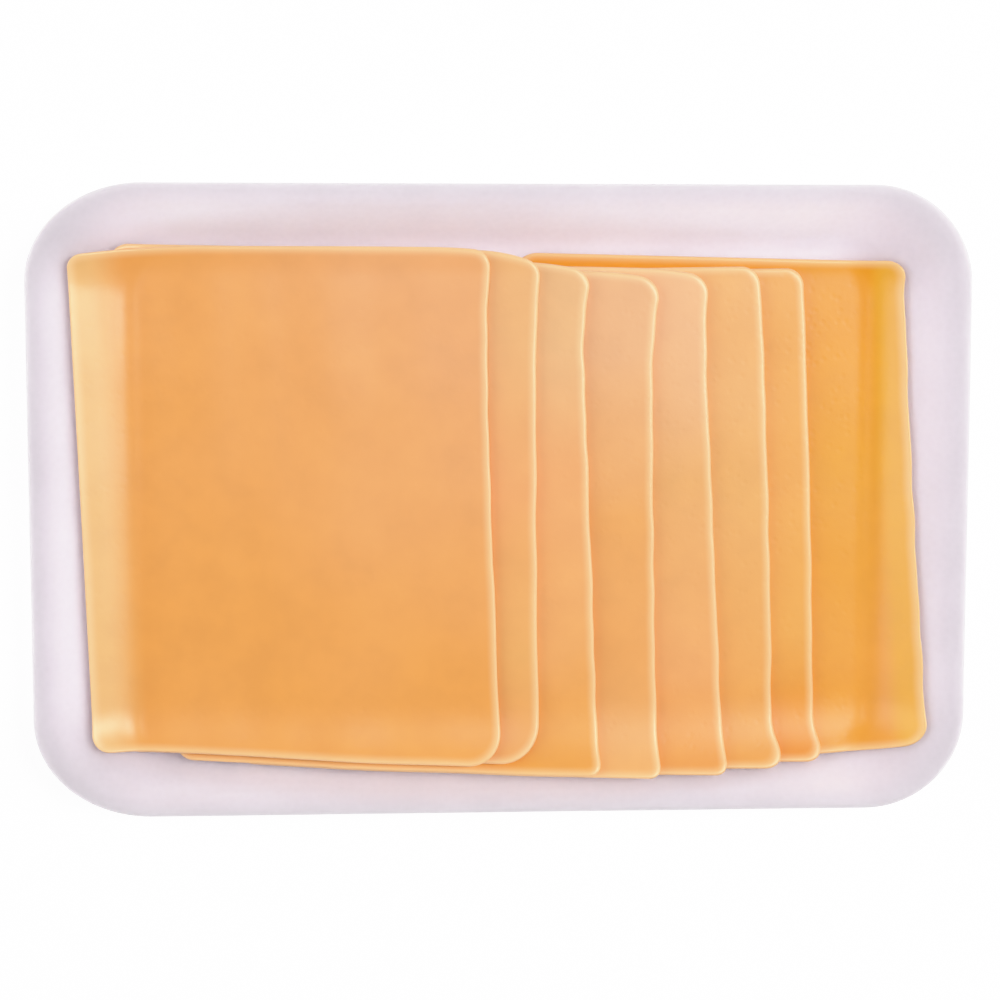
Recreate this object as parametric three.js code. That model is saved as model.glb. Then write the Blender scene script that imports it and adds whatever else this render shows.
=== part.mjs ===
import * as THREE from "three";
import { mergeVertices } from "three/addons/utils/BufferGeometryUtils.js";

// An open foam tray with eight slices of cheese fanned out along it.
// Millimetres, +Z up and +X along the fan. The origin is the middle of the tray's underside.

// The tray's plan is a rounded rectangle at every level, with quarter ellipses
// for corners: the edge of the lip at the top, and at the bottom the foot line,
// where the floor turns up into the wall. The left end's corners are the larger.
const TRAY = { height: 15, foam: 2.5, lipBevel: 0.6 };
const EDGE = { left: 105, right: 105, across: 70.5, cornerLeft: 26, cornerRight: 22.5, cornerAcross: 22 };
const FOOT_LINE = { left: 84, right: 85, across: 57.4, cornerLeft: 12, cornerRight: 12, cornerAcross: 12 };

// The wall's slope grows from nothing at the start of the foot to its full
// value at the end of it, and falls to nothing again over the roll of the lip.
// These are shares of the way from the foot line, 0, to the edge of the lip, 1.
const FOOT = { start: -0.18, end: 0.22, steps: 5 };
const ROLL = { start: 0.6, end: 0.94, steps: 4 };
const CORNER_STEPS = 9;

// How finely a point's share of the wall is found, and how close points merge.
const HALVINGS = 24;
const MERGE_DISTANCE = 1e-4;

// Every slice is cut alike and bends like a cloth: its thickness and the clear
// step to the next slice are measured straight up. A slice settles onto what is
// beyond the one below it over the settling length. The ends of the slices rise
// in a shallow bowl, less at the top than at the bottom, and follow the end walls inside bedReach.
// Grid lines gather toward the edges by the gather shares.
const SLICE = {
  thickness: 1.6,
  step: 1.87,
  clearance: 0.4,
  settleAlong: 24,
  settleAcross: 30,
  bowlTop: { start: 50, curve: 0.02 },
  bowlBottom: { start: 45, curve: 0.0145 },
  bedReach: 56,
  columns: 20,
  rows: 14,
  gatherAlong: 0.28,
  gatherAcross: 0.3,
  flareStart: 0.8,
  earStart: 0.6,
  droopStart: 0.7,
  sinkStart: 0.35,
};

// The slices from the top of the fan to the bottom. right is the right edge at
// the slice's middle, run its length along the fan seen from above, and top and
// bottom its ends across the fan. lean is how far its sides drift along X for
// each millimetre of Y, and slant how far its ends drift along Y for each
// millimetre of X. bow pushes the middle of the right edge out, ear its top
// corner and flare its bottom corner. corners are the radii of the top left,
// top right, bottom right and bottom left corners. droop is how far the top
// right corner draws in, sink how far the top left and the bottom right one do
// where they climb the tray's wall, and taper how much narrower the left end
// is, as a share.
const SLICES = [
  { right: -2.7, run: 91.2, top: 57.3, bottom: -58.2, lean: -0.03, slant: -0.02, bow: -0.6, flare: 0.3, ear: 1.3,
    corners: [3, 4, 8, 4], droop: 0.8, sinkLeft: 2.6, sinkRight: 0, taper: 0.02 },
  { right: 7.2, run: 93.6, top: 56.5, bottom: -57.9, lean: -0.008, slant: -0.02, bow: -0.4, flare: 0, ear: 1.2,
    corners: [4, 3, 9, 4], droop: 2.9, sinkLeft: 0, sinkRight: 0, taper: 0 },
  { right: 18.9, run: 95.4, top: 54.3, bottom: -60.4, lean: -0.038, slant: -0.03, bow: 0.1, flare: 0.4, ear: 2.4,
    corners: [4, 4, 3, 4], droop: 1.7, sinkLeft: 0, sinkRight: 0, taper: 0 },
  { right: 33.9, run: 95.4, top: 52.4, bottom: -61.4, lean: -0.016, slant: -0.03, bow: -0.4, flare: 0.8, ear: 2.2,
    corners: [4, 5, 3, 4], droop: 1.7, sinkLeft: 0, sinkRight: 0, taper: 0 },
  { right: 47.4, run: 95.4, top: 52.8, bottom: -61.7, lean: -0.05, slant: -0.02, bow: 0, flare: 0.8, ear: 1.4,
    corners: [4, 4, 3, 4], droop: 1.8, sinkLeft: 0, sinkRight: 0, taper: 0 },
  { right: 59.9, run: 95.4, top: 52.4, bottom: -61.9, lean: -0.034, slant: 0.004, bow: 0.5, flare: 4.4, ear: -0.4,
    corners: [4, 4, 6, 4], droop: 0, sinkLeft: 0, sinkRight: 0, taper: 0.02 },
  { right: 69.9, run: 95.2, top: 52, bottom: -61, lean: -0.034, slant: 0.006, bow: 0.5, flare: 3, ear: 0,
    corners: [4, 4, 5, 4], droop: 0, sinkLeft: 0, sinkRight: 0, taper: 0.02 },
  { right: 93.3, run: 88, top: 54.8, bottom: -59.1, lean: -0.055, slant: -0.022, bow: -0.2, flare: 0, ear: 0.4,
    corners: [6, 4, 5, 4], droop: 0, sinkLeft: 0, sinkRight: 4.6, taper: 0 },
];

const FOAM_COLOUR = 0xe6dae2;
const CHEESE_COLOUR = 0xf0ad63;

// The integral of a slope that grows evenly from 0 at start to 1 at end.
function slopeIntegral(at, start, end) {
  if (at <= start) return 0;
  if (at >= end) return at - (start + end) / 2;
  return (at - start) ** 2 / (2 * (end - start));
}

function smoothstep(value) {
  const share = THREE.MathUtils.clamp(value, 0, 1);
  return share * share * (3 - 2 * share);
}

// The height of the wall over the floor at a share of the way up it, and its slope.
const WALL_HEIGHT = TRAY.height - TRAY.foam;
const WALL_GAIN = WALL_HEIGHT / ((ROLL.start + ROLL.end - FOOT.start - FOOT.end) / 2);

function wallRise(share) {
  const foot = slopeIntegral(share, FOOT.start, FOOT.end);
  const roll = slopeIntegral(share, ROLL.start, ROLL.end);
  return WALL_GAIN * (foot - roll);
}

function wallSlope(share, run) {
  const foot = THREE.MathUtils.clamp((share - FOOT.start) / (FOOT.end - FOOT.start), 0, 1);
  const roll = THREE.MathUtils.clamp((share - ROLL.start) / (ROLL.end - ROLL.start), 0, 1);
  return (WALL_GAIN * (foot - roll)) / run;
}

// The corner of the tray's plan at a share of the way up the wall, on the side
// that x lies on: the middle of its ellipse and its two radii.
function cornerAt(x, share) {
  const { lerp } = THREE.MathUtils;
  const side = x < 0 ? "left" : "right";
  const corner = x < 0 ? "cornerLeft" : "cornerRight";
  const along = lerp(FOOT_LINE[corner], EDGE[corner], share);
  const across = lerp(FOOT_LINE.cornerAcross, EDGE.cornerAcross, share);
  return {
    along,
    across,
    centreX: lerp(FOOT_LINE[side], EDGE[side], share) - along,
    centreY: lerp(FOOT_LINE.across, EDGE.across, share) - across,
  };
}

// How far up the wall a point of the plan lies, found by halving.
function wallShare(x, y) {
  let low = FOOT.start;
  let high = 1;
  for (let i = 0; i < HALVINGS; i += 1) {
    const middle = (low + high) / 2;
    const corner = cornerAt(x, middle);
    const outX = Math.max(Math.abs(x) - corner.centreX, 0) / corner.along;
    const outY = Math.max(Math.abs(y) - corner.centreY, 0) / corner.across;
    if (Math.hypot(outX, outY) > 1) low = middle;
    else high = middle;
  }
  return low;
}

// A closed mesh with each point of the source geometry moved by place.
function reshaped(source, place) {
  const geometry = source.clone();
  geometry.deleteAttribute("normal");
  geometry.deleteAttribute("uv");
  const positions = geometry.getAttribute("position");
  const point = new THREE.Vector3();
  for (let i = 0; i < positions.count; i += 1) {
    point.fromBufferAttribute(positions, i);
    place(point);
    positions.setXYZ(i, point.x, point.y, point.z);
  }
  const merged = mergeVertices(geometry, MERGE_DISTANCE);
  merged.computeVertexNormals();
  return merged;
}

// The foam's section from the middle of the floor to the lip and back under
// it. Its radius is 1 plus the share of the wall, and 0 at the middle.
function traySection() {
  const run = EDGE.across - FOOT_LINE.across;
  const bevel = TRAY.lipBevel / run;
  const shares = [FOOT, ROLL].flatMap((bend) => {
    const steps = Array.from({ length: bend.steps + 1 }, (_, i) => i / bend.steps);
    return steps.map((step) => THREE.MathUtils.lerp(bend.start, bend.end, step));
  });
  const upper = shares.map((share) => new THREE.Vector2(1 + share, TRAY.foam + wallRise(share)));
  const lip = [
    new THREE.Vector2(2 - bevel, TRAY.height),
    new THREE.Vector2(2, TRAY.height - TRAY.lipBevel),
    new THREE.Vector2(2, TRAY.height - TRAY.foam + TRAY.lipBevel),
    new THREE.Vector2(2 - bevel, TRAY.height - TRAY.foam),
  ];
  const lower = shares.map((share) => {
    const upright = TRAY.foam * Math.hypot(1, wallSlope(share, run));
    return new THREE.Vector2(1 + share, Math.max(TRAY.foam + wallRise(share) - upright, 0));
  });
  const floorTop = new THREE.Vector2(0, TRAY.foam);
  const floorUnder = new THREE.Vector2(0, 0);
  return [floorUnder, ...lower, ...lip.reverse(), ...upper.reverse(), floorTop];
}

// A lathe of that section, with its round plan pulled out to the tray's. The
// lathe's steps fall either side of each axis, and the straight sides run
// between the two points that share one.
function makeTray() {
  const quarter = Math.PI / 2;
  const step = quarter / CORNER_STEPS;
  const lathe = new THREE.LatheGeometry(traySection(), 4 * CORNER_STEPS, step / 2);
  lathe.rotateX(quarter);
  return reshaped(lathe, (point) => {
    const radius = Math.hypot(point.x, point.y);
    if (radius < MERGE_DISTANCE) return;
    const angle = Math.atan2(Math.abs(point.y), Math.abs(point.x));
    const turn = ((angle - step / 2) / (quarter - step)) * quarter;
    const corner = cornerAt(point.x, radius - 1);
    point.x = Math.sign(point.x) * (corner.centreX + corner.along * Math.cos(turn));
    point.y = Math.sign(point.y) * (corner.centreY + corner.across * Math.sin(turn));
  });
}

// A slice's middle and half size in the plan.
function frameOf(slice) {
  return {
    x: slice.right - slice.run / 2,
    y: (slice.top + slice.bottom) / 2,
    halfRun: slice.run / 2,
    halfSpan: (slice.top - slice.bottom) / 2,
  };
}

// How much of a slice's step is felt at a point of the plan: all of it over
// the slice, fading out over the settling length beyond its edges.
function cover(slice, x, y) {
  const frame = frameOf(slice);
  const alongX = x - frame.x - slice.lean * (y - frame.y);
  const alongY = y - frame.y - slice.slant * (x - frame.x);
  const outX = Math.max(Math.abs(alongX) - frame.halfRun, 0);
  const outY = Math.max(Math.abs(alongY) - frame.halfSpan, 0);
  return 1 - smoothstep(Math.hypot(outX / SLICE.settleAlong, outY / SLICE.settleAcross));
}

// The height of a slice's underside: the tray's floor and end walls, the bowl
// that the ends of the slices take up, and the slices that lie below. It never
// drops under the tray's own wall.
function undersideHeight(index, x, y) {
  const wall = wallRise(wallShare(x, y));
  const reachedY = THREE.MathUtils.clamp(y, -SLICE.bedReach, SLICE.bedReach);
  const endWall = wallRise(wallShare(x, reachedY));
  const { start, curve } = y > 0 ? SLICE.bowlTop : SLICE.bowlBottom;
  const bowl = curve * Math.max(Math.abs(y) - start, 0) ** 2;
  const bed = Math.cbrt(endWall ** 3 + bowl ** 3);
  const below = SLICES.slice(index + 1);
  const covers = below.reduce((sum, lower) => sum + cover(lower, x, y), 0);
  return TRAY.foam + SLICE.clearance + Math.max(wall, bed + SLICE.step * covers);
}

// Rounds a corner: a point in the square at the corner moves into the quarter circle.
function roundCorner(point, halfRun, halfSpan, corners) {
  const [topLeft, topRight, bottomRight, bottomLeft] = corners;
  const left = point.x < 0;
  const high = point.y > 0;
  const radius = high ? (left ? topLeft : topRight) : (left ? bottomLeft : bottomRight);
  const a = (Math.abs(point.x) - (halfRun - radius)) / radius;
  const b = (Math.abs(point.y) - (halfSpan - radius)) / radius;
  if (a <= 0 || b <= 0) return;
  point.x = Math.sign(point.x) * (halfRun - radius + radius * a * Math.sqrt(1 - (b * b) / 2));
  point.y = Math.sign(point.y) * (halfSpan - radius + radius * b * Math.sqrt(1 - (a * a) / 2));
}

// Spreads even grid lines so that they gather toward the ends.
function gather(share, amount) {
  return share * (1 + amount - amount * share * share);
}

// How far a share has gone from start to the end of its range, squared.
function ease(share, start) {
  return Math.max((share - start) / (1 - start), 0) ** 2;
}

// Carries a point of a rounded rectangle to its place in the slice's plan: the
// taper, the drawn in corners, the uneven right edge, and the lean and slant.
function placeInPlan(slice, point) {
  const frame = frameOf(slice);
  const alongRun = point.x / frame.halfRun;
  const alongSpan = point.y / frame.halfSpan;
  const nearRight = ((1 + alongRun) / 2) ** 3;
  const bow = slice.bow * (1 - alongSpan ** 2);
  const flare = slice.flare * ease(-alongSpan, SLICE.flareStart);
  const ear = slice.ear * ease(alongSpan, SLICE.earStart);
  const narrowing = 1 - (slice.taper * (1 - alongRun)) / 2;
  const droop = slice.droop * ease(alongRun, SLICE.droopStart) * Math.max(alongSpan, 0);
  const sinkLeft = slice.sinkLeft * ease(-alongRun, SLICE.sinkStart) * Math.max(alongSpan, 0);
  const sinkRight = slice.sinkRight * ease(alongRun, SLICE.sinkStart) * Math.max(-alongSpan, 0);
  return {
    x: frame.x + point.x + slice.lean * point.y + nearRight * (bow + flare + ear),
    y: frame.y + point.y * narrowing + slice.slant * point.x - droop - sinkLeft + sinkRight,
  };
}

// A thin box whose outline is the slice's and whose body drapes over what lies below it.
function makeSlice(index) {
  const slice = SLICES[index];
  const frame = frameOf(slice);
  const box = new THREE.BoxGeometry(2, 2, 2, SLICE.columns, SLICE.rows, 1);
  return reshaped(box, (point) => {
    const lift = point.z > 0 ? SLICE.thickness : 0;
    point.x = gather(point.x, SLICE.gatherAlong) * frame.halfRun;
    point.y = gather(point.y, SLICE.gatherAcross) * frame.halfSpan;
    roundCorner(point, frame.halfRun, frame.halfSpan, slice.corners);
    const { x, y } = placeInPlan(slice, point);
    point.set(x, y, undersideHeight(index, x, y) + lift);
  });
}

function foamMaterial() {
  return new THREE.MeshStandardMaterial({ color: FOAM_COLOUR, roughness: 0.6, metalness: 0 });
}

function cheeseMaterial() {
  return new THREE.MeshStandardMaterial({ color: CHEESE_COLOUR, roughness: 0.4, metalness: 0 });
}

function namedMesh(name, geometry, material) {
  const mesh = new THREE.Mesh(geometry, material);
  mesh.name = name;
  return mesh;
}

const pack = new THREE.Group();
pack.add(namedMesh("tray", makeTray(), foamMaterial()));
SLICES.forEach((slice, index) => {
  pack.add(namedMesh(`slice_${index + 1}`, makeSlice(index), cheeseMaterial()));
});

export default pack;
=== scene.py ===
import bpy
import numpy as np
from mathutils import Matrix, Vector


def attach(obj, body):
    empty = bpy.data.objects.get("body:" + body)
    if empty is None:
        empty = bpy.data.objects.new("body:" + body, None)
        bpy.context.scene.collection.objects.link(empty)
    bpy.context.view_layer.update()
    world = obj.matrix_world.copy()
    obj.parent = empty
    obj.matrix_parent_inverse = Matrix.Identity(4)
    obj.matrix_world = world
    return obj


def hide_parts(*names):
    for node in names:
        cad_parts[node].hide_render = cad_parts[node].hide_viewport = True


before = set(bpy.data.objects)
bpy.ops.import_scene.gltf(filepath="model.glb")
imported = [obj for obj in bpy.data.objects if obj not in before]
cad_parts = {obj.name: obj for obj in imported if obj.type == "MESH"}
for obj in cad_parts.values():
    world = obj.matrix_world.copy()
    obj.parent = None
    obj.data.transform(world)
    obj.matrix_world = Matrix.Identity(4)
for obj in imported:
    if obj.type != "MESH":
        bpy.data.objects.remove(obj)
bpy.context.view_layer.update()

# An open foam tray with eight slices of cheese fanned out along it, seen from above.
# Shapes are worked out in millimetres, +Z up and +X along the fan, and go to Blender in metres.
MM = 0.001

# The tray's plan is a rounded rectangle at every level, with quarter ellipses for corners:
# the edge of the lip at the top, and the foot line where the floor turns up into the wall.
TRAY_HEIGHT = 15.0
FOAM = 2.5
LIP_RADIUS = 1.1
EDGE = dict(left=105.0, right=105.0, across=70.5, corner_left=26.0, corner_right=22.5, corner_across=22.0)
FOOT_LINE = dict(left=84.0, right=85.0, across=57.4, corner_left=12.0, corner_right=12.0, corner_across=12.0)

# Shares of the way from the foot line, 0, to the edge of the lip, 1. Between those of FOOT the
# wall's slope grows, and between those of ROLL it falls away again. Inside PLAN_HELD, on the floor,
# the plan keeps its form and shrinks to its middle. A point's own share is found by halving.
FOOT = (-0.18, 0.22)
ROLL = (0.6, 0.94)
PLAN_HELD = -0.3
HALVINGS = 26

# The tray's mesh: steps round a corner and along the long and the end sides, and points over the
# floor, up the wall and round the lip.
CORNER_STEPS = 26
SIDE_STEPS = (60, 40)
FLOOR_POINTS = 10
WALL_POINTS = 64
LIP_POINTS = 15

# Painted light on the foam, evening out its shading: how pale the foam is painted at shares of the way
# up the wall, most where the cheese shades the walls. On the long walls that lasts up to an x, on the end
# walls up to a y, and falls over the given length beyond it to CORNER_PAINTED_LIGHT. The right and the
# bottom wall have only the given shares of what is over CORNER_PAINTED_LIGHT.
PAINTED_LIGHT_SHARES = (-0.1, 0.15, 0.3, 0.4, 0.55, 0.67, 0.8, 0.95, 1.0)
PAINTED_LIGHT_LEVELS = (0.77, 0.9, 1.0, 1.0, 0.93, 0.72, 0.42, 0.08, 0.0)
LONG_WALL_FADE = (70, 30)
END_WALL_FADE = (40, 22)
CORNER_PAINTED_LIGHT = 0.45
RIGHT_PAINTED_LIGHT = 0.44
BOTTOM_PAINTED_LIGHT = 0.33

# The slices' cut: thickness and step are measured straight up, and the lowest clears the foam.
THICKNESS = 1.6
STEP = 1.87
CLEARANCE = 0.4

# How far beyond the edges of a slice the ones above it take to settle to the next. The bed follows
# the end walls out to BED_REACH, and keeps their height there beyond it. The slices' ends bend up
# beyond the first value of the bowl, by its second value times the square of the distance.
SETTLE_ALONG = 24.0
SETTLE_ACROSS = 30.0
BED_REACH = 56.0
BOWL_TOP = (50.0, 0.02)
BOWL_BOTTOM = (45.0, 0.0145)

# Shares of a slice's half size where its right edge's flare starts, at the bottom and at the top,
# then the droop of its top right corner, and the sinking of its top left and bottom right ones.
FLARE_START = 0.8
EAR_START = 0.6
DROOP_START = 0.7
SINK_START = 0.35

# How deep the rounding of the cut edge reaches, the depths inside the edge where grid lines follow
# it, and the even grid lines along and across the rest.
EDGE_ROUND = 0.7
EDGE_DEPTHS = (0, 0.02, 0.07, 0.15, 0.26, 0.4, 0.6, 0.9, 1.4)
SLICE_LINES = (96, 112)

# How far the right edges reach past their outline in the plan, where the knife's burr lies, and how
# much of its thickness the top slice loses over the given length where its left end is pressed thin.
BURR = 0.4
PRESSED = {0: (0.6, 6.0)}
NOT_PRESSED = (0.0, 1.0)

# Slow waves in the tray's walls, in the slices and in the line of their right edges.
WAVES = 7
UNEVEN = dict(seed=5, wavelength=60, amount=0.12)
SWAY = dict(seed=40, wavelength=34, amount=0.05)
WAVER = dict(wavelength=14, amount=0.12)
WAVER_SEED = 60

# The millimetres over which a slice's UV map runs from 0 to 1, with 0.5 at its middle.
UV_SPAN = 100

# From the top of the fan to the bottom: the right edge, the run along X, the ends across,
# the lean of the sides, the slant of the ends, the bow of the right edge and the flare of
# its bottom and top corners, the radii of the top left, top right, bottom right and bottom
# left corners, how far the top right, top left and bottom right corners draw in, and the taper
# to the left.
SLICES = [
    dict(right=-2.7, run=91.2, top=57.3, bottom=-58.2, lean=-0.03, slant=-0.02, bow=-0.6, flare=0.3, ear=1.3,
         corners=(3, 4, 8, 4), droop=0.8, sink_left=2.6, sink_right=0, taper=0.02),
    dict(right=7.2, run=93.6, top=56.5, bottom=-57.9, lean=-0.008, slant=-0.02, bow=-0.4, flare=0, ear=1.2,
         corners=(4, 3, 9, 4), droop=2.9, sink_left=0, sink_right=0, taper=0),
    dict(right=18.9, run=95.4, top=54.3, bottom=-60.4, lean=-0.038, slant=-0.03, bow=0.1, flare=0.4, ear=2.4,
         corners=(4, 4, 3, 4), droop=1.7, sink_left=0, sink_right=0, taper=0),
    dict(right=33.9, run=95.4, top=52.4, bottom=-61.4, lean=-0.016, slant=-0.03, bow=-0.4, flare=0.8, ear=2.2,
         corners=(4, 5, 3, 4), droop=1.7, sink_left=0, sink_right=0, taper=0),
    dict(right=47.4, run=95.4, top=52.8, bottom=-61.7, lean=-0.05, slant=-0.02, bow=0, flare=0.8, ear=1.4,
         corners=(4, 4, 3, 4), droop=1.8, sink_left=0, sink_right=0, taper=0),
    dict(right=59.9, run=95.4, top=52.4, bottom=-61.9, lean=-0.034, slant=0.004, bow=0.5, flare=4.4, ear=-0.4,
         corners=(4, 4, 6, 4), droop=0, sink_left=0, sink_right=0, taper=0.02),
    dict(right=69.9, run=95.2, top=52, bottom=-61, lean=-0.034, slant=0.006, bow=0.5, flare=3, ear=0,
         corners=(4, 4, 5, 4), droop=0, sink_left=0, sink_right=0, taper=0.02),
    dict(right=93.3, run=88, top=54.8, bottom=-59.1, lean=-0.055, slant=-0.022, bow=-0.2, flare=0, ear=0.4,
         corners=(6, 4, 5, 4), droop=0, sink_left=0, sink_right=4.6, taper=0),
]

# The slices' colours, from the top of the fan down: four colours from the bottom end of each to its
# top, at these places of the ramp, and how much of the ramp the clouds blur. They differ partly as the
# slices' own colour and partly as a painted sheen that pales each slice towards its top end.
TONE_STOPS = (0.0, 0.2, 0.6, 1.0)
CLOUDING = 0.3
TONES_AND_SHEEN = [
    ("#f39a29", "#efa24b", "#f0a65d", "#eba567"),
    ("#eda55b", "#f0af64", "#f3a867", "#ebaf71"),
    ("#eb9f41", "#f3ac64", "#f3ab6c", "#ebb57c"),
    ("#f3af67", "#eca55c", "#eea75c", "#ebb07c"),
    ("#ed9e4a", "#f3aa66", "#ebac66", "#f1b582"),
    ("#eba048", "#f0a858", "#ecad62", "#eeac65"),
    ("#eb901e", "#f0aa4f", "#f3a951", "#eba247"),
    ("#eea032", "#efa23b", "#eba127", "#eb9908"),
]
# A painted highlight along the cut edges, for the light that passes and catches them.
EDGE_HIGHLIGHT = "#fdd29c"

# The top slice shows its whole width, and its painted sheen runs along it too. Where the outer slices
# rise up an end wall, painted light pales them: a painted sheen on the top slice, a brighter yellow on the
# bottom one.
SHEEN_ACROSS_ONLY = (1.09, 0.0, 0.0, 0.0)
SHEEN_FADES = {0: (0.0, 1.0, 0.125, 0.16)}
PAINTED_BEND_LIGHT = {0: ("#f1bb76", 0.17, 0.08), 7: ("#efac1c", 0.86, 0.9)}

# Half the width of the floor, and the tent's light overhead with what it gains towards its foot.
FLOOR_HALF = 1500.0
TENT_OVERHEAD = 0.155
TENT_GAIN = 1.0

# The camera looks almost straight down, from over a point left of the tray's middle and beyond it.
CAMERA_MM = (-22.52, 38.9, 447.0)
CAMERA_TURN = (-0.0883, -0.0499, -0.0002)
FOCAL_MM = 70.24
SENSOR_MM = 36.0

# The tone above which the photograph holds highlights back, the light that gives full white, and
# the points of the curve between them.
FILM_KNEE = 0.8
FILM_RANGE = 2.0
FILM_POINTS = 13


def linear(hex_colour):
    """The linear colour of an sRGB hex value: each channel over 255, then the sRGB curve undone."""
    value = np.array([int(hex_colour[i:i + 2], 16) for i in (1, 3, 5)]) / 255
    return (*np.where(value <= 0.04045, value / 12.92, ((value + 0.055) / 1.055) ** 2.4), 1.0)


def smoothstep(value):
    """3t squared minus 2t cubed, with t held between 0 and 1."""
    t = np.clip(value, 0, 1)
    return t * t * (3 - 2 * t)


def ease(share, start):
    """How far a share has gone from start to 1, squared."""
    return np.maximum((share - start) / (1 - start), 0) ** 2


def slope_integral(at, start, end):
    """The integral of a slope that is 0 before start, grows evenly, and is 1 after end."""
    t = np.clip(at, start, end)
    return (t - start) ** 2 / (2 * (end - start)) + np.maximum(at - end, 0)


def ripple(x, y, seed, wavelength, amount):
    """A sum of sine waves of random direction and phase about one wavelength, in the plan."""
    rng = np.random.default_rng(seed)
    total = np.zeros(np.shape(x))
    for _ in range(WAVES):
        angle, phase = rng.uniform(0, 2 * np.pi, 2)
        length = wavelength * rng.uniform(0.7, 1.5)
        total += np.sin(2 * np.pi * (x * np.cos(angle) + y * np.sin(angle)) / length + phase)
    return amount * total / np.sqrt(WAVES)


WALL_GAIN = (TRAY_HEIGHT - FOAM) / ((sum(ROLL) - sum(FOOT)) / 2)


def wall_rise(share):
    """The wall's height over the floor: the foot's slope integral less the roll's."""
    return WALL_GAIN * (slope_integral(share, *FOOT) - slope_integral(share, *ROLL))


def wall_slope(share, run):
    """The wall's slope, in millimetres up for each millimetre outwards over a wall of that run."""
    foot = np.clip((share - FOOT[0]) / (FOOT[1] - FOOT[0]), 0, 1)
    roll = np.clip((share - ROLL[0]) / (ROLL[1] - ROLL[0]), 0, 1)
    return WALL_GAIN * (foot - roll) / run


def corner_at(x, share):
    """The corner of the plan on x's side: foot line and lip edge mixed by the share of the wall."""
    def mixed(name):
        return FOOT_LINE[name] + (EDGE[name] - FOOT_LINE[name]) * share
    left = x < 0
    along = np.where(left, mixed("corner_left"), mixed("corner_right"))
    across = mixed("corner_across")
    centre_x = np.where(left, mixed("left"), mixed("right")) - along
    return centre_x, mixed("across") - across, along, across


def wall_share(x, y):
    """How far up the wall each point of the plan lies, found by halving: 0 on the foot line, 1 on
    the edge."""
    low = np.full(np.shape(x), FOOT[0])
    high = np.ones(np.shape(x))
    for _ in range(HALVINGS):
        middle = (low + high) / 2
        centre_x, centre_y, along, across = corner_at(x, middle)
        out_x = np.maximum(np.abs(x) - centre_x, 0) / along
        out_y = np.maximum(np.abs(y) - centre_y, 0) / across
        outside = np.hypot(out_x, out_y) > 1
        low = np.where(outside, middle, low)
        high = np.where(outside, high, middle)
    return low


def middle_and_half(piece):
    """A slice's middle and half size in the plan."""
    half_run = piece["run"] / 2
    half_span = (piece["top"] - piece["bottom"]) / 2
    return piece["right"] - half_run, (piece["top"] + piece["bottom"]) / 2, half_run, half_span


def cover(piece, x, y):
    """How much of a slice's step is felt: 1 over the slice, falling by smoothstep over the settling
    length beyond it."""
    mid_x, mid_y, half_run, half_span = middle_and_half(piece)
    out_x = np.maximum(np.abs(x - mid_x - piece["lean"] * (y - mid_y)) - half_run, 0)
    out_y = np.maximum(np.abs(y - mid_y - piece["slant"] * (x - mid_x)) - half_span, 0)
    return 1 - smoothstep(np.hypot(out_x / SETTLE_ALONG, out_y / SETTLE_ACROSS))


def underside_height(index, x, y):
    """Floor, end walls, the bowl of the slices' ends and a step for each slice below, or the wall
    itself where that is higher."""
    wall = wall_rise(wall_share(x, y))
    end_wall = wall_rise(wall_share(x, np.clip(y, -BED_REACH, BED_REACH)))
    start = np.where(y > 0, BOWL_TOP[0], BOWL_BOTTOM[0])
    curve = np.where(y > 0, BOWL_TOP[1], BOWL_BOTTOM[1])
    bowl = curve * np.maximum(np.abs(y) - start, 0) ** 2
    bed = np.cbrt(end_wall ** 3 + bowl ** 3)
    covers = sum((cover(lower, x, y) for lower in SLICES[index + 1:]), np.zeros(np.shape(x)))
    return FOAM + CLEARANCE + np.maximum(wall, bed + STEP * covers)


def new_object(name, vertices, faces, uv=None):
    """A mesh object at the origin from vertices in millimetres and a list of faces."""
    mesh = bpy.data.meshes.new(name)
    mesh.from_pydata(vertices * MM, [], faces)
    mesh.shade_smooth()
    if uv is not None:
        corners = np.empty(len(mesh.loops), np.int32)
        mesh.loops.foreach_get("vertex_index", corners)
        mesh.uv_layers.new(name="surface").data.foreach_set("uv", uv[corners].astype(np.float32).ravel())
    obj = bpy.data.objects.new(name, mesh)
    bpy.context.scene.collection.objects.link(obj)
    return obj


def add_value(obj, name, values):
    """A number at every vertex, for the material to read."""
    attribute = obj.data.attributes.new(name, "FLOAT", "POINT")
    attribute.data.foreach_set("value", values.astype(np.float32))


def grid_faces(rows, columns, closed=False):
    """Quads between the neighbours of a grid numbered row by row; closed joins the last column to
    the first."""
    row = np.arange(rows - 1)[:, None]
    column = np.arange(columns if closed else columns - 1)[None, :]
    following = (column + 1) % columns
    corners = [row * columns + column, row * columns + following,
               (row + 1) * columns + following, (row + 1) * columns + column]
    return np.stack(corners, axis=-1).reshape(-1, 4)


def foam_section():
    """The shares and heights of the foam's section, from beside the floor's middle up the wall, over
    the lip and back underneath."""
    run = EDGE["across"] - FOOT_LINE["across"]
    floor_shares = -1 + (FOOT[0] + 1) * np.linspace(0, 1, FLOOR_POINTS)[1:-1]
    shares = FOOT[0] + (1 - LIP_RADIUS / run - FOOT[0]) * np.linspace(0, 1, WALL_POINTS)
    upper_z = FOAM + wall_rise(shares)
    lower_z = np.maximum(FOAM + wall_rise(shares) - FOAM * np.hypot(1, wall_slope(shares, run)), 0)
    turn = np.linspace(np.pi / 2, -np.pi / 2, LIP_POINTS)[1:-1]
    lip_shares = 1 + LIP_RADIUS / run * (np.cos(turn) - 1)
    lip_z = TRAY_HEIGHT - FOAM / 2 + FOAM / 2 * np.sin(turn)
    floor_z = np.full(floor_shares.shape, FOAM)
    section_share = np.concatenate([floor_shares, shares, lip_shares, shares[::-1], floor_shares[::-1]])
    section_z = np.concatenate([floor_z, upper_z, lip_z, lower_z[::-1], floor_z * 0])
    return section_share[:, None], section_z[:, None]


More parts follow.
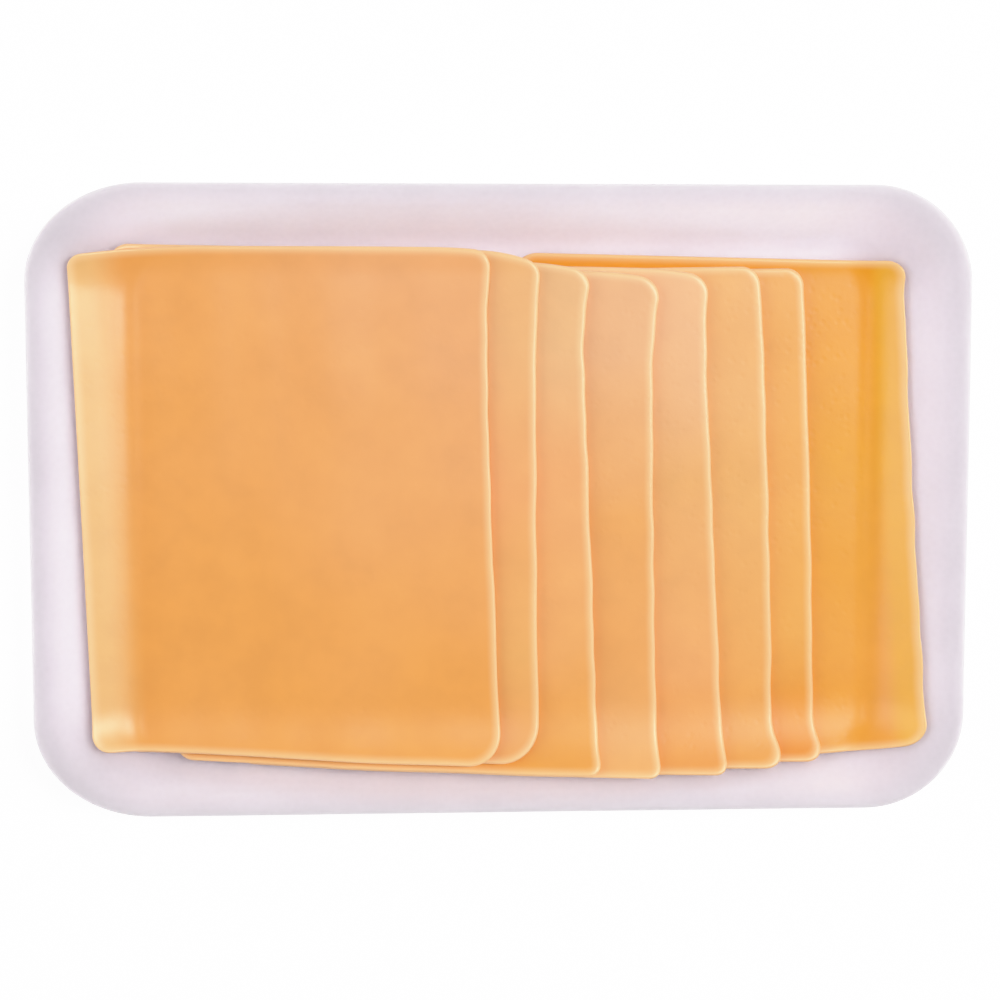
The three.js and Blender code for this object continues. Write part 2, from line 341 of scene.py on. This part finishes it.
def with_sides(corners, steps):
    """Joins four corner arcs into one ring by straight sides of the given steps, long and short in
    turn."""
    pieces = []
    for i, arc in enumerate(corners):
        following = corners[(i + 1) % 4]
        count = steps[i % 2]
        ramp = np.linspace(0, 1, count + 1)[1:-1]
        side = arc[:, -1:] + (following[:, :1] - arc[:, -1:]) * ramp
        pieces += [arc, side]
    return np.concatenate(pieces, axis=1)


def fall(distance, start, length):
    """1 up to start, and down to 0 over the length beyond it."""
    return 1 - smoothstep((distance - start) / length)


def painted_foam_light(x, y, share):
    """Painted light on the foam, how pale it is painted: most on the walls beside the cheese, where it
    lifts them out of the cheese's shade, less on the lip, in the corners and on the right and bottom walls."""
    up_the_wall = np.interp(share, PAINTED_LIGHT_SHARES, PAINTED_LIGHT_LEVELS)
    beside_long_wall = fall(np.abs(x), *LONG_WALL_FADE) * np.where(y > 0, 1, BOTTOM_PAINTED_LIGHT)
    beside_end_wall = fall(np.abs(y), *END_WALL_FADE) * np.where(x < 0, 1, RIGHT_PAINTED_LIGHT)
    beside = np.maximum(beside_long_wall, beside_end_wall)
    return up_the_wall * (CORNER_PAINTED_LIGHT + (1 - CORNER_PAINTED_LIGHT) * beside)


def tray_mesh():
    """Rings of the rounded rectangle, one for each point of the foam's section. A ring's corner is
    centre plus radius times cosine and sine."""
    share, section_z = foam_section()
    quarter = np.linspace(0, np.pi / 2, CORNER_STEPS + 1)
    ring_x, ring_y = [], []
    for sign_x, sign_y, flip in ((1, 1, False), (-1, 1, True), (-1, -1, False), (1, -1, True)):
        angle = quarter[::-1] if flip else quarter
        side = np.full(share.shape, float(sign_x))
        centre_x, centre_y, along, across = corner_at(side, np.maximum(share, PLAN_HELD))
        ring_x.append(sign_x * (centre_x + along * np.cos(angle)))
        ring_y.append(sign_y * (centre_y + across * np.sin(angle)))
    shrink = np.where(share < PLAN_HELD, (share + 1) / (1 + PLAN_HELD), 1.0)
    x = with_sides(ring_x, SIDE_STEPS) * shrink
    y = with_sides(ring_y, SIDE_STEPS) * shrink
    uneven = ripple(x, y, **UNEVEN) * smoothstep(share * 2)
    z = section_z + uneven * (section_z / TRAY_HEIGHT)
    return x, y, z, painted_foam_light(x, y, share)


def make_tray():
    """The tray as one closed skin: its rings, and a vertex at the middle of the floor and of the
    underside."""
    x, y, z, glow = tray_mesh()
    rows, columns = x.shape
    grid = np.stack([x, y, z], axis=-1).reshape(-1, 3)
    middle = np.array([[0, 0, FOAM], [0, 0, 0]])
    quads = grid_faces(rows, columns, closed=True)[:, ::-1]
    column = np.arange(columns)
    following = (column + 1) % columns
    last = (rows - 1) * columns
    top = np.stack([np.full(columns, len(grid)), column, following], axis=-1)
    under = np.stack([np.full(columns, len(grid) + 1), last + following, last + column], axis=-1)
    obj = new_object("foam_tray", np.concatenate([grid, middle]),
                     quads.tolist() + top.tolist() + under.tolist())
    # Painted light on the foam, at every vertex.
    add_value(obj, "glow", np.concatenate([glow.ravel(), [PAINTED_LIGHT_LEVELS[0]] * len(middle)]))
    return obj


def gathered_lines(count, half, depths):
    """Grid lines across a half size: even in the middle, and at the given depths inside each edge."""
    inner = half - depths[-1]
    middle = np.linspace(-inner, inner, count)
    edge = half - np.array(depths[:-1])
    return np.concatenate([-edge, middle, edge[::-1]])


def edge_shifts(piece, along, across):
    """How far a slice's uneven edges carry a point along X and Y, from its shares of the half sizes."""
    near_right = ((1 + along) / 2) ** 3
    bow = piece["bow"] * (1 - across ** 2)
    flare = piece["flare"] * ease(-across, FLARE_START)
    ear = piece["ear"] * ease(across, EAR_START)
    droop = piece["droop"] * ease(along, DROOP_START) * np.maximum(across, 0)
    sink_left = piece["sink_left"] * ease(-along, SINK_START) * np.maximum(across, 0)
    sink_right = piece["sink_right"] * ease(along, SINK_START) * np.maximum(-across, 0)
    return near_right * (bow + flare + ear), sink_right - droop - sink_left


def round_corners(u, v, half_run, half_span, corners):
    """Bends the corner squares of a grid into quarter circles: within a square of side radius, x
    becomes a times the root of 1 less half b squared, and y the same with a and b changed over.
    Returns the new grid and its depth inside the edge."""
    top_left, top_right, bottom_right, bottom_left = corners
    top = np.where(u < 0, top_left, top_right)
    bottom = np.where(u < 0, bottom_left, bottom_right)
    radius = np.where(v > 0, top, bottom)
    a = (np.abs(u) - half_run + radius) / radius
    b = (np.abs(v) - half_span + radius) / radius
    corner = (a > 0) & (b > 0)
    bent_u = half_run - radius + radius * a * np.sqrt(np.maximum(1 - b * b / 2, 0))
    bent_v = half_span - radius + radius * b * np.sqrt(np.maximum(1 - a * a / 2, 0))
    out = np.sqrt(np.clip(a * a + b * b - a * a * b * b, 0, 1))
    straight = np.minimum(half_run - np.abs(u), half_span - np.abs(v))
    depth = np.where(corner, radius * (1 - out), straight)
    u = np.where(corner, np.sign(u) * bent_u, u)
    v = np.where(corner, np.sign(v) * bent_v, v)
    return u, v, np.maximum(depth, 0)


def slice_plan(index):
    """The slice's rectangle with rounded corners, whose edges then bow, flare, draw in, lean and
    slant, and the right one wavers a little from the knife. Returns the place in the plan, the depth
    inside the edge, and the place in the plain rectangle."""
    piece = SLICES[index]
    mid_x, mid_y, half_run, half_span = middle_and_half(piece)
    u, v = np.meshgrid(gathered_lines(SLICE_LINES[0], half_run, EDGE_DEPTHS),
                       gathered_lines(SLICE_LINES[1], half_span, EDGE_DEPTHS))
    u, v, depth = round_corners(u, v, half_run, half_span, piece["corners"])
    along, across = u / half_run, v / half_span
    narrowing = 1 - piece["taper"] * (1 - along) / 2
    shift_x, shift_y = edge_shifts(piece, along, across)
    waver = ripple(0 * v, v, seed=WAVER_SEED + index, **WAVER)
    shift_x = shift_x + ((1 + along) / 2) ** 6 * (BURR + waver)
    x = mid_x + u + piece["lean"] * v + shift_x
    y = mid_y + v * narrowing + piece["slant"] * u + shift_y
    return x, y, depth, u, v


def make_slice(index):
    """Two sheets that meet at the outline. Each stands off the slice's middle surface by half the
    thickness times the root of 1 less the square of how far it is into the rounded edge."""
    x, y, depth, u, v = slice_plan(index)
    rows, columns = x.shape
    into_edge = np.clip(1 - depth / EDGE_ROUND, 0, 1)
    loss, reach = PRESSED.get(index, NOT_PRESSED)
    from_left = u + SLICES[index]["run"] / 2
    thickness = THICKNESS * (1 - loss * smoothstep(1 - from_left / reach))
    half = thickness / 2 * np.sqrt(1 - into_edge ** 2)
    middle = underside_height(index, x, y) + thickness / 2
    sway = ripple(x, y, **SWAY)
    top = np.stack([x, y, middle + half + sway], axis=-1).reshape(-1, 3)
    under = np.stack([x, y, middle - half + sway], axis=-1).reshape(-1, 3)
    uv = np.stack([u, v], axis=-1).reshape(-1, 2) / UV_SPAN + 0.5

    # The two sheets share the vertices of the rim, and the under sheet has its own inside it.
    rim = np.zeros((rows, columns), bool)
    rim[[0, -1], :] = True
    rim[:, [0, -1]] = True
    inside = ~rim.ravel()
    under_number = np.arange(rows * columns)
    under_number[inside] = rows * columns + np.arange(inside.sum())
    faces = grid_faces(rows, columns)
    under_faces = under_number[faces][:, ::-1]

    def both(values):
        return np.concatenate([values, values[inside]])
    obj = new_object(f"cheese_slice_{index + 1}", np.concatenate([top, under[inside]]),
                     faces.tolist() + under_faces.tolist(), both(uv))
    add_value(obj, "edge_depth", both(depth.ravel()) * MM)
    return obj


def add(tree, kind, settings=None, links=None, **properties):
    """A node with its properties, the values on its sockets, and the sockets that feed it."""
    node = tree.nodes.new(kind)
    for name, value in properties.items():
        setattr(node, name, value)
    for socket, value in (settings or {}).items():
        node.inputs[socket].default_value = value
    for socket, source in (links or {}).items():
        tree.links.new(source, node.inputs[socket])
    return node


def multiply_add(tree, value, factor, addend):
    """A value times a factor plus an addend, each of them a number or the socket that gives it."""
    terms = dict(enumerate((value, factor, addend)))
    numbers = {place: term for place, term in terms.items() if isinstance(term, float)}
    sockets = {place: term for place, term in terms.items() if place not in numbers}
    return add(tree, "ShaderNodeMath", numbers, sockets, operation="MULTIPLY_ADD").outputs[0]


def remap(tree, value, before, after, interpolation="LINEAR"):
    """A value held inside one range and carried to another."""
    settings = {"From Min": before[0], "From Max": before[1], "To Min": after[0], "To Max": after[1]}
    node = add(tree, "ShaderNodeMapRange", settings, {"Value": value}, interpolation_type=interpolation)
    return node.outputs["Result"]


def brightened(tree, colour, factor):
    """A colour times the number from a socket."""
    node = add(tree, "ShaderNodeVectorMath", links={0: colour, "Scale": factor}, operation="SCALE")
    return node.outputs["Vector"]


def noise(tree, place, scale, detail=1.0, roughness=0.5):
    """Noise of so many waves to the metre."""
    settings = {"Scale": scale, "Detail": detail, "Roughness": roughness}
    return add(tree, "ShaderNodeTexNoise", settings, {"Vector": place}).outputs["Fac"]


def cells(tree, place, scale):
    """The distance to the nearest of so many scattered points to the metre."""
    return add(tree, "ShaderNodeTexVoronoi", {"Scale": scale}, {"Vector": place}).outputs["Distance"]


def new_material(name):
    """An empty node material and its tree."""
    material = bpy.data.materials.new(name)
    material.use_nodes = True
    material.node_tree.nodes.clear()
    return material, material.node_tree


def expanded_foam():
    """Expanded polystyrene, skinned in a heated mould: a pale lavender white, satin and slightly
    translucent, with a faint mottle of beads a millimetre or two across that the skin half hides. Its
    two colours are mixed by painted light, paler on the walls beside the cheese to lift their shade."""
    material, tree = new_material("expanded_polystyrene_foam")
    place = add(tree, "ShaderNodeTexCoord").outputs["Object"]
    mottle = noise(tree, place, 60.0)
    blend = multiply_add(tree, cells(tree, place, 700.0), 0.35, mottle)
    # The foam's two colours, mixed by the painted light on its walls.
    glow = add(tree, "ShaderNodeAttribute", attribute_name="glow").outputs["Fac"]
    skin = add(tree, "ShaderNodeMix", {"A": linear("#c1bbc0"), "B": linear("#e8e1e9")}, {"Factor": glow},
               data_type="RGBA")
    speck = remap(tree, blend, (0.3, 0.9), (0.965, 1.02))
    bump = add(tree, "ShaderNodeBump", {"Strength": 0.12, "Distance": 0.0003}, {"Height": blend})
    shader = add(tree, "ShaderNodeBsdfPrincipled",
                 {"IOR": 1.5, "Specular IOR Level": 0.35, "Subsurface Weight": 1.0,
                  "Subsurface Radius": (1.0, 1.0, 1.0), "Subsurface Scale": 0.006},
                 {"Base Color": brightened(tree, skin.outputs["Result"], speck),
                  "Roughness": remap(tree, mottle, (0, 1), (0.48, 0.62)),
                  "Normal": bump.outputs["Normal"]})
    add(tree, "ShaderNodeOutputMaterial", links={"Surface": shader.outputs["BSDF"]})
    return material


def cheese_tone_and_sheen(tree, right, up, clouds, tones_and_sheen, sheen_fade):
    """The cut face's colour, partly its own and partly a painted sheen: four colours on a ramp that runs
    up the slice. The sheen's rates say how fast it runs, how much faster towards the slice's right, how
    much it gains to the right, and where it starts. Clouds blur it."""
    up_rate, up_rate_gain, right_rate, start = sheen_fade
    rate = multiply_add(tree, right, up_rate_gain, up_rate)
    foot = multiply_add(tree, right, right_rate, start - CLOUDING / 2)
    drift = multiply_add(tree, up, rate, foot)
    tone = multiply_add(tree, clouds, CLOUDING, drift)
    colour = add(tree, "ShaderNodeValToRGB", links={"Fac": tone})
    ramp = colour.color_ramp
    for stop in TONE_STOPS[1:-1]:
        ramp.elements.new(stop)
    for element, stop, hex_colour in zip(ramp.elements, TONE_STOPS, tones_and_sheen):
        element.position = stop
        element.color = linear(hex_colour)
    return colour.outputs["Color"]


def sliced_cheese(name, tones_and_sheen, sheen_fade, bend, seed):
    """Coloured cheese, cut by a blade into thin slices: a soft orange with a waxy, low sheen, fine
    grain and pits from the cut, and a painted highlight along the edges for the light that passes them.
    A painted sheen pales it towards the top end. A slice that rises up the tray's end wall takes a
    painted light, its given colour, between the two shares of its run."""
    material, tree = new_material(name)
    place = add(tree, "ShaderNodeTexCoord").outputs["Object"]
    shifted = add(tree, "ShaderNodeMapping", {"Location": (seed * 0.37, seed * 0.19, 0)}, {"Vector": place})
    spot = shifted.outputs["Vector"]
    clouds = noise(tree, spot, 28.0)
    surface = add(tree, "ShaderNodeUVMap", uv_map="surface").outputs["UV"]
    share = add(tree, "ShaderNodeSeparateXYZ", links={"Vector": surface})
    right = share.outputs["X"]
    face = cheese_tone_and_sheen(tree, right, share.outputs["Y"], clouds, tones_and_sheen, sheen_fade)
    # Painted light where the slice bends up an end wall.
    if bend:
        bend_light_tone, start, full = bend
        bent = remap(tree, right, (start, full), (0, 1), "SMOOTHSTEP")
        face = add(tree, "ShaderNodeMix", {"B": linear(bend_light_tone)}, {"Factor": bent, "A": face},
                   data_type="RGBA").outputs["Result"]
    blotch = noise(tree, spot, 110.0, 2.0, 0.6)
    mottled = brightened(tree, face, remap(tree, blotch, (0.3, 0.7), (0.965, 1.035)))
    # A painted highlight along the cut edges.
    depth = add(tree, "ShaderNodeAttribute", attribute_name="edge_depth").outputs["Fac"]
    edge = remap(tree, depth, (0.0, 0.0024), (0.75, 0.0), "SMOOTHSTEP")
    with_edge_highlight = add(tree, "ShaderNodeMix", {"B": linear(EDGE_HIGHLIGHT)}, {"Factor": edge, "A": mottled},
                    data_type="RGBA")
    pits = remap(tree, cells(tree, spot, 420.0), (0.0, 0.35), (0.0, 1.0))
    height = multiply_add(tree, noise(tree, spot, 900.0), 0.5, pits)
    bump = add(tree, "ShaderNodeBump", {"Strength": 0.1, "Distance": 0.0002}, {"Height": height})
    shader = add(tree, "ShaderNodeBsdfPrincipled",
                 {"IOR": 1.6, "Specular IOR Level": 0.5},
                 {"Base Color": with_edge_highlight.outputs["Result"],
                  "Roughness": remap(tree, clouds, (0, 1), (0.33, 0.38)),
                  "Normal": bump.outputs["Normal"]})
    add(tree, "ShaderNodeOutputMaterial", links={"Surface": shader.outputs["BSDF"]})
    return material


def studio_paper():
    """A seamless roll of matt white paper, so brightly lit that it shows no tooth."""
    material, tree = new_material("studio_paper")
    shader = add(tree, "ShaderNodeBsdfPrincipled",
                 {"Base Color": linear("#f7f7f7"), "Roughness": 0.9, "Specular IOR Level": 0.0,
                  "Emission Color": (1, 1, 1, 1), "Emission Strength": 0.6})
    add(tree, "ShaderNodeOutputMaterial", links={"Surface": shader.outputs["BSDF"]})
    return material


def make_floor():
    """A wide flat floor that the tray stands on."""
    signs = np.array([[-1, -1, 0], [1, -1, 0], [1, 1, 0], [-1, 1, 0]])
    floor = new_object("floor", FLOOR_HALF * signs, [[0, 1, 2, 3]])
    floor.data.materials.append(studio_paper())


def soft_light(name, place, size, watts, target=(0, 0, 0.01)):
    """A square softbox that faces its target, all in metres."""
    light = bpy.data.lights.new(name, "AREA")
    light.shape = "SQUARE"
    light.size = size
    light.energy = watts
    obj = bpy.data.objects.new(name, light)
    direction = np.array(target) - np.array(place)
    obj.location = place
    obj.rotation_euler = Vector(direction).to_track_quat("-Z", "Y").to_euler()
    bpy.context.scene.collection.objects.link(obj)


def make_lights():
    """A high softbox to the right gives the sheen of the tilted slices, one overhead that of the top
    slice, a lower one on each side lights what faces it, and a white tent, brighter towards its foot,
    does the rest. The tent gives its gain times the square of 1 less the height, plus the overhead."""
    soft_light("key_softbox", place=(0.62, 0.28, 1.3), size=0.4, watts=8.0)
    soft_light("overhead_softbox", place=(-0.3, 0.2, 1.4), size=0.36, watts=2.0)
    soft_light("right_softbox", place=(1.0, 0.15, 0.9), size=0.5, watts=5.0)
    soft_light("left_softbox", place=(-1.15, 0.1, 0.6), size=0.8, watts=6.0)
    world = bpy.data.worlds.new("white_tent")
    bpy.context.scene.world = world
    world.use_nodes = True
    tree = world.node_tree
    place = add(tree, "ShaderNodeTexCoord").outputs["Generated"]
    height = add(tree, "ShaderNodeSeparateXYZ", links={"Vector": place}).outputs["Z"]
    low = add(tree, "ShaderNodeMath", {0: 1.0}, {1: height}, operation="SUBTRACT", use_clamp=True)
    squared = add(tree, "ShaderNodeMath", {1: 2.0}, {0: low.outputs[0]}, operation="POWER")
    glow = multiply_add(tree, squared.outputs[0], TENT_GAIN, TENT_OVERHEAD)
    tree.links.new(glow, tree.nodes["Background"].inputs["Strength"])
    tree.nodes["Background"].inputs["Color"].default_value = (1, 1, 1, 1)


def set_film():
    """The photograph's tone curve: straight up to a knee, then one less a falling exponential of what
    is over the knee, so that light orange and white keep their tone where they shine."""
    view = bpy.context.scene.view_settings
    view.view_transform = "Standard"
    view.use_curve_mapping = True
    mapping = view.curve_mapping
    mapping.white_level = (FILM_RANGE, FILM_RANGE, FILM_RANGE)
    all_channels = mapping.curves[3]
    room = 1 - FILM_KNEE
    above_knee = np.linspace(FILM_KNEE, FILM_RANGE, FILM_POINTS)[1:-1]
    scene_light = np.concatenate([[FILM_KNEE / 2, FILM_KNEE], above_knee])
    over = np.maximum(scene_light - FILM_KNEE, 0)
    film = np.minimum(scene_light, FILM_KNEE) + room * (1 - np.exp(-over / room))
    all_channels.points[0].location = (0, 0)
    all_channels.points[1].location = (1, 1)
    for light, tone in zip(scene_light / FILM_RANGE, film):
        all_channels.points.new(light, tone)
    for point in all_channels.points:
        point.handle_type = "VECTOR"
    mapping.update()


def make_camera():
    """The photograph's viewpoint, with the turn about X first, then Y, then Z."""
    data = bpy.data.cameras.new("camera")
    data.lens = FOCAL_MM
    data.sensor_width = SENSOR_MM
    data.clip_start = 0.01
    camera = bpy.data.objects.new("camera", data)
    turn_x, turn_y, turn_z = (Matrix.Rotation(angle, 4, axis) for angle, axis in zip(CAMERA_TURN, "XYZ"))
    place = Matrix.Translation([value * MM for value in CAMERA_MM])
    camera.matrix_world = place @ turn_z @ turn_y @ turn_x
    bpy.context.scene.collection.objects.link(camera)
    bpy.context.scene.camera = camera


def finish_piece(obj, node, material):
    """Gives a piece its material and lets it stand for its node."""
    obj.data.materials.append(material)
    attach(obj, "root")
    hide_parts(node)


finish_piece(make_tray(), "tray", expanded_foam())
for number, tones_and_sheen in enumerate(TONES_AND_SHEEN):
    cheese = sliced_cheese(f"coloured_cheese_{number + 1}", tones_and_sheen, SHEEN_FADES.get(number, SHEEN_ACROSS_ONLY),
                           PAINTED_BEND_LIGHT.get(number), number + 1)
    finish_piece(make_slice(number), f"slice_{number + 1}", cheese)

make_floor()
make_lights()
make_camera()
set_film()
